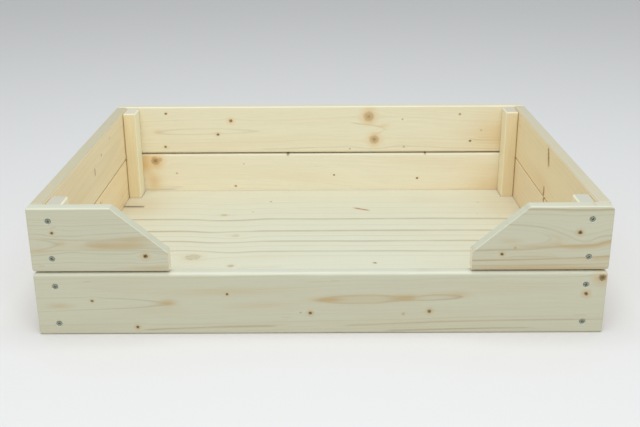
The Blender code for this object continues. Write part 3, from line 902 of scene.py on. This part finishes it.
HEAD_RADIUS = 0.004
SHANK_RADIUS = 0.002
HEAD_RIM = 0.0004
HEAD_CONE = 0.0024
SCREW_LENGTH = 0.040
SCREW_POINT = 0.005
SCREW_TURN = math.radians(37.0)
HOLE_GAP = 0.0004
HOLE_CRATER = 0.0005
CRATER_DEPTH = 0.0003
TURNED_SIDES = 40
CUTTER_OVERRUN = 0.002
# The cross recess: half length and half width of an arm, how much wider its round middle is, and
# the scale of the cross at each height.
RECESS_ARM = 0.0023
RECESS_HALF = 0.00052
RECESS_MIDDLE = 1.7
RECESS_LEVELS = ((1.35, 0.0010), (1.0, 0.0), (0.45, -0.0019))

CHECK_ACROSS = 0.5005
CHECK_LENGTH = 0.042
CHECK_WIDTH = 0.0044
CHECK_WAVE = 0.0007
CHECK_BENDS = 9.0
CHECK_DEPTH = 0.0055
CHECK_STEPS = 8


def finished_mesh(bm, name):
    bmesh.ops.recalc_face_normals(bm, faces=bm.faces)
    mesh = bpy.data.meshes.new(name)
    bm.to_mesh(mesh)
    bm.free()
    return mesh


def applied(obj):
    """The object's mesh with its modifiers applied. The object itself is removed."""
    graph = bpy.context.evaluated_depsgraph_get()
    mesh = bpy.data.meshes.new_from_object(obj.evaluated_get(graph))
    bpy.data.objects.remove(obj)
    return mesh


def without_slivers(mesh):
    """Merges the points that a cut left on top of each other, so that no face is without area."""
    bm = bmesh.new()
    bm.from_mesh(mesh)
    bmesh.ops.remove_doubles(bm, verts=bm.verts, dist=SLIVER)
    bmesh.ops.dissolve_degenerate(bm, edges=bm.edges, dist=SLIVER)
    bm.to_mesh(mesh)
    bm.free()
    return mesh


def loose_object(name, mesh):
    obj = bpy.data.objects.new(name, mesh)
    SCENE.collection.objects.link(obj)
    return obj


def rectangle(low, high):
    return [(low[0], low[1]), (high[0], low[1]), (high[0], high[1]), (low[0], high[1])]


def wing_outline(low, high, sign):
    """Front outline of an upper front board: its inner top corner is cut off in one slope."""
    outer, inner = (high[0], low[0]) if sign > 0 else (low[0], high[0])
    slope_top = outer - sign * WING_TOP_LENGTH
    slope_foot = low[1] + WING_END_HEIGHT
    corner = [(outer, high[1])]
    if sign > 0:
        corner = []
        for step in range(WORN_CORNER_STEPS + 1):
            turn = step / WORN_CORNER_STEPS * math.pi / 2
            across = outer - WORN_CORNER * (1.0 - math.cos(turn))
            corner.append((across, high[1] - WORN_CORNER * (1.0 - math.sin(turn))))
    return [(outer, low[1]), *corner, (slope_top, high[1]), (inner, slope_foot), (inner, low[1])]


def floor_outline(low, high):
    """Outline of the floor panel, whose four corners are notched round the posts."""
    notch_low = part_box("post_front_left")[1]
    notch_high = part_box("post_rear_right")[0]
    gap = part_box("post_front_left")[0].x - low[0] + 2 * fit_gap()
    cut_x = (notch_low.x + gap, notch_high.x - gap)
    cut_y = (notch_low.y + gap, notch_high.y - gap)
    return [
        (cut_x[0], low[1]), (cut_x[1], low[1]), (cut_x[1], cut_y[0]), (high[0], cut_y[0]),
        (high[0], cut_y[1]), (cut_x[1], cut_y[1]), (cut_x[1], high[1]), (cut_x[0], high[1]),
        (cut_x[0], cut_y[1]), (low[0], cut_y[1]), (low[0], cut_y[0]), (cut_x[0], cut_y[0]),
    ]


def fit_gap():
    """Clearance that the frame keeps between pieces that touch, read off the left post."""
    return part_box("post_front_left")[0].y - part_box("front_lower_board")[1].y


def prism(outline, plane, low, high):
    """A bmesh prism of the outline, which lies in two axes, over the whole of the third one."""
    third = next(index for index in range(3) if index not in plane)
    bm = bmesh.new()
    loops = []
    for level in (low[third], high[third]):
        corners = []
        for first, second in outline:
            point = [0.0, 0.0, 0.0]
            point[plane[0]] = first
            point[plane[1]] = second
            point[third] = level
            corners.append(bm.verts.new(point))
        loops.append(corners)
        bm.faces.new(corners)
    for index in range(len(outline)):
        after = (index + 1) % len(outline)
        bm.faces.new((loops[0][index], loops[0][after], loops[1][after], loops[1][index]))
    return bm


def weigh_edges(mesh, weight_of):
    """Sets how much of the arris each edge gets, from its two end points."""
    weights = mesh.attributes.new("bevel_weight_edge", "FLOAT", "EDGE")
    for edge in mesh.edges:
        ends = [mesh.vertices[index].co for index in edge.vertices]
        weights.data[edge.index].value = weight_of(*ends)


def rounded(bm, name, arris, steps, weight_of):
    """The prism's mesh with its edges rounded, each by its own share of the arris."""
    mesh = finished_mesh(bm, name)
    weigh_edges(mesh, weight_of)
    obj = loose_object(name, mesh)
    bevel = obj.modifiers.new("arris", "BEVEL")
    bevel.width = arris
    bevel.segments = steps
    bevel.limit_method = "WEIGHT"
    return applied(obj)


def cut_into_cells(bm, low, high, cell):
    """Adds loops so that the flat faces have points to move, at even steps along each axis."""
    for axis in range(3):
        span = high[axis] - low[axis]
        steps = max(1, round(span / cell))
        normal = Vector([float(index == axis) for index in range(3)])
        for step in range(1, steps):
            point = Vector(low)
            point[axis] = low[axis] + span * step / steps
            geometry = [*bm.verts, *bm.edges, *bm.faces]
            bmesh.ops.bisect_plane(bm, geom=geometry, dist=MERGE, plane_co=point, plane_no=normal)


def wear(bm, seed, slopes):
    """Slow waves from planing and drying, and handled arrises. Points only ever move inward."""
    bm.normal_update()
    moves = []
    offset = Vector((seed * 1.7, seed * 0.9, seed * 0.3))
    for vert in bm.verts:
        facing = [abs(part) for part in vert.normal] + [vert.normal.dot(slope) for slope in slopes]
        edge = 1.0 - max(facing)
        wave = 0.5 + 0.5 * noise.noise(vert.co * WAVE_SCALE + offset)
        nick = max(0.0, noise.noise(vert.co * NICK_SCALE + offset) - NICK_LEVEL)
        depth = WAVE_DEPTH * wave + NICK_DEPTH * nick * min(1.0, edge * 3.0)
        moves.append(vert.normal * -depth)
    for vert, move in zip(bm.verts, moves):
        vert.co += move


def turned(profile, name):
    """A closed turned shape from (radius, height) points that start and end on the Z axis."""
    bm = bmesh.new()
    points = [bm.verts.new((radius, 0.0, height)) for radius, height in profile]
    edges = [bm.edges.new(pair) for pair in zip(points, points[1:])]
    bmesh.ops.spin(
        bm, geom=points + edges, cent=(0.0, 0.0, 0.0), axis=(0.0, 0.0, 1.0),
        angle=math.tau, steps=TURNED_SIDES, use_merge=True,
    )
    bmesh.ops.remove_doubles(bm, verts=bm.verts, dist=MERGE)
    bmesh.ops.dissolve_degenerate(bm, edges=bm.edges, dist=MERGE)
    return finished_mesh(bm, name)


def screw_frames():
    """Where each screw stands: {node: matrix with +Z out of the head}, read off the CAD solids."""
    frames = {}
    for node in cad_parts:
        if "screw" not in node:
            continue
        low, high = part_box(node)
        size = high - low
        axis = max(range(3), key=lambda index: size[index])
        centre = (low + high) / 2
        outward = Vector((0.0, 0.0, 0.0))
        outward[axis] = math.copysign(1.0, centre[axis])
        head = centre.copy()
        head[axis] = high[axis] if outward[axis] > 0 else low[axis]
        turn = outward.to_track_quat("Z", "Y").to_matrix().to_4x4()
        frames[node] = Matrix.Translation(head) @ turn
    return frames


SCREWS = screw_frames()


def hole_mesh():
    radius = HEAD_RADIUS + HOLE_GAP
    shank = SHANK_RADIUS + HOLE_GAP
    neck = HEAD_RIM + HEAD_CONE
    crater = radius + HOLE_CRATER
    profile = [
        (0.0, CUTTER_OVERRUN), (crater, CUTTER_OVERRUN), (crater, CRATER_DEPTH),
        (radius, -CRATER_DEPTH), (radius, -HEAD_RIM), (shank, -neck - HOLE_GAP),
        (shank, -SCREW_LENGTH - HOLE_GAP),
        (0.0, -SCREW_LENGTH - HOLE_GAP),
    ]
    return turned(profile, "hole")


HOLE = hole_mesh()


def near_box(point, low, high, margin):
    return all(low[i] - margin <= point[i] <= high[i] + margin for i in range(3))


def check_outline(low):
    """Outline of the open drying check in the floor panel's left edge, which tapers to a point."""
    sides = [[], []]
    for step in range(CHECK_STEPS):
        share = step / CHECK_STEPS
        along = low.x - CUTTER_OVERRUN + share * (CHECK_LENGTH + CUTTER_OVERRUN)
        middle = low.y + CHECK_ACROSS + CHECK_WAVE * math.sin(share * CHECK_BENDS)
        half = CHECK_WIDTH / 2 * (1.0 - share ** 3)
        sides[0].append((along, middle - half))
        sides[1].append((along, middle + half))
    tip = (low.x + CHECK_LENGTH, low.y + CHECK_ACROSS + CHECK_WAVE * math.sin(CHECK_BENDS))
    return [*sides[0], tip, *reversed(sides[1])]


def drilled(obj, low, high):
    """Cuts the hole of every screw that passes through this piece, and the floor's check."""
    bm = bmesh.new()
    if obj.name.startswith("floor_panel"):
        deep = Vector((0.0, 0.0, high.z - CHECK_DEPTH))
        above = Vector((0.0, 0.0, high.z + CUTTER_OVERRUN))
        bm = prism(check_outline(low), (0, 1), deep, above)
    for node, place in SCREWS.items():
        head = place.translation
        tip = place @ Vector((0.0, 0.0, -SCREW_LENGTH))
        if near_box(head, low, high, 0.001) or near_box(tip, low, high, 0.0):
            hole = HOLE.copy()
            hole.transform(place)
            bm.from_mesh(hole)
            bpy.data.meshes.remove(hole)
    if not bm.verts:
        bm.free()
        return applied(obj)
    cutter = loose_object("holes", finished_mesh(bm, "holes"))
    cut = obj.modifiers.new("holes", "BOOLEAN")
    cut.operation = "DIFFERENCE"
    cut.solver = "EXACT"
    cut.object = cutter
    mesh = without_slivers(applied(obj))
    bpy.data.objects.remove(cutter)
    return mesh


def add_piece(name, mesh, node, material):
    """Puts a finished piece in the scene in place of its CAD node."""
    mesh.materials.clear()
    mesh.materials.append(material)
    mesh.shade_smooth()
    mesh.set_sharp_from_angle(angle=SMOOTH_ANGLE)
    piece = loose_object(name, mesh)
    normals = piece.modifiers.new("even_shading", "WEIGHTED_NORMAL")
    normals.keep_sharp = True
    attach(piece, "root")
    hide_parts(node)
    return piece


def every_edge(first, second):
    return 1.0


def level_edges(first, second):
    return float(abs(first.z - second.z) < NEAR)


def add_wooden_piece(node, figure):
    """A board, post or floor panel: its outline, rounded arrises, wear, screw holes and wood."""
    low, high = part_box(node)
    arris, steps, plane = JOINT_ARRIS, ARRIS_STEPS, (0, 2)
    outline = rectangle((low.x, low.z), (high.x, high.z))
    slopes = []
    if node == "front_lower_board":
        arris = FRONT_EDGE_ARRIS
    joint = high.z if "lower" in node else low.z
    outer_share = BOARD_ARRIS / arris
    joint_share = 1.0
    if node.startswith(("left_", "right_")):
        joint_share = WALL_JOINT_ARRIS / arris

    def weight_of(first, second):
        at_joint = max(abs(first.z - joint), abs(second.z - joint)) < NEAR
        return joint_share if at_joint else outer_share

    if node.startswith("post_"):
        arris = POST_ARRIS
        weight_of = every_edge
    elif node == "floor_panel":
        arris, steps, plane = FLOOR_ARRIS, 2, (0, 1)
        outline = floor_outline(low, high)
        weight_of = level_edges
    elif node.endswith("_wing"):
        sign = math.copysign(1.0, low.x + high.x)
        outline = wing_outline((low.x, low.z), (high.x, high.z), sign)
        slope_foot = low.z + WING_END_HEIGHT
        inner = min(abs(low.x), abs(high.x))
        slope_top = max(abs(low.x), abs(high.x)) - WING_TOP_LENGTH
        slopes = [Vector((sign * (slope_foot - high.z), 0.0, slope_top - inner)).normalized()]

        def weight_of(first, second):
            reach = max(abs(first.x), abs(second.x))
            on_end = reach < inner + NEAR
            on_slope = reach < slope_top + NEAR and max(first.z, second.z) > slope_foot - NEAR
            on_top = min(first.z, second.z) > high.z - WORN_CORNER - NEAR
            through = abs(first.y - second.y) > NEAR
            if sign > 0 and through and on_top and reach > slope_top + NEAR:
                return 0.0
            if on_end or on_slope:
                return CUT_ARRIS_SHARE
            at_joint = max(abs(first.z - joint), abs(second.z - joint)) < NEAR
            return 1.0 if at_joint else outer_share

    mesh = rounded(prism(outline, plane, low, high), node, arris, steps, weight_of)
    bm = bmesh.new()
    bm.from_mesh(mesh)
    bpy.data.meshes.remove(mesh)
    cut_into_cells(bm, low, high, CELL)
    wear(bm, figure.seed, slopes)
    body = loose_object(node + "_blank", finished_mesh(bm, node))
    mesh = drilled(body, low, high)
    add_piece(node + "_wood", mesh, node, spruce_material(node, low, high, figure))


# ---------------------------------------------------------------- screws

ZINC_DARK = (0.25, 0.275, 0.225, 1.0)
ZINC_PALE = (0.43, 0.45, 0.36, 1.0)
ZINC_SCUFF = (0.62, 0.60, 0.50, 1.0)
ZINC_BUMP = (0.2, 0.00005)


def recess_cutter():
    """A tapering cross with a round middle, which opens upward."""
    bm = bmesh.new()
    outline = []
    middle = RECESS_HALF * RECESS_MIDDLE
    for quarter in range(4):
        turn = Matrix.Rotation(quarter * math.pi / 2, 3, "Z")
        for point in ((RECESS_ARM, -RECESS_HALF), (RECESS_ARM, RECESS_HALF), (middle, middle)):
            outline.append(turn @ Vector((*point, 0.0)))
    rings = []
    for scale, height in RECESS_LEVELS:
        lift = Vector((0.0, 0.0, height))
        rings.append([bm.verts.new(point * scale + lift) for point in outline])
    bm.faces.new(rings[0])
    bm.faces.new(rings[-1])
    for upper, lower in zip(rings, rings[1:]):
        for index in range(len(outline)):
            after = (index + 1) % len(outline)
            bm.faces.new((upper[index], upper[after], lower[after], lower[index]))
    return loose_object("recess", finished_mesh(bm, "recess"))


def screw_mesh():
    neck = HEAD_RIM + HEAD_CONE
    profile = [
        (0.0, -0.0001), (HEAD_RADIUS - 0.0004, -0.00003), (HEAD_RADIUS - 0.0001, -0.00012),
        (HEAD_RADIUS, -0.0003), (HEAD_RADIUS, -HEAD_RIM), (SHANK_RADIUS + 0.0003, -neck + 0.0003),
        (SHANK_RADIUS, -neck - 0.0004), (SHANK_RADIUS, SCREW_POINT - SCREW_LENGTH), (0.0, -SCREW_LENGTH),
    ]
    blank = loose_object("blank", turned(profile, "blank"))
    cutter = recess_cutter()
    cut = blank.modifiers.new("recess", "BOOLEAN")
    cut.operation = "DIFFERENCE"
    cut.object = cutter
    mesh = without_slivers(applied(blank))
    bpy.data.objects.remove(cutter)
    return mesh


def zinc_material():
    """Blue-passivated zinc plating, with a faint iridescent cast and driver scuffs."""
    material, shader, w = new_material("zinc_steel")
    place = w.node("ShaderNodeTexCoord").outputs["Object"]
    patch = w.noise(place, 900.0, 3.0)
    scuff = w.noise(place, 5200.0)
    colour = w.mix(w.spread(patch, 0.35, 0.65), ZINC_DARK, ZINC_PALE)
    colour = w.mix(w.spread(scuff, 0.6, 0.75, 0.0, 0.5), colour, ZINC_SCUFF)
    w.feed(shader.inputs["Base Color"], colour)
    w.feed(shader.inputs["Roughness"], w.linear(patch, 0.3, 0.7, 0.30, 0.48))
    shader.inputs["Metallic"].default_value = 1.0
    add_bump(w, shader, scuff, *ZINC_BUMP)
    return material


def add_screws():
    mesh = screw_mesh()
    material = zinc_material()
    for index, (node, place) in enumerate(SCREWS.items()):
        body = mesh.copy()
        body.transform(place @ Matrix.Rotation(index * SCREW_TURN, 4, "Z"))
        add_piece(node + "_steel", body, node, material)
    bpy.data.meshes.remove(mesh)


SCENE.view_settings.view_transform = "Standard"
add_camera()
add_lights()
add_stage()
for node, figure in FIGURES.items():
    add_wooden_piece(node, figure)
add_screws()
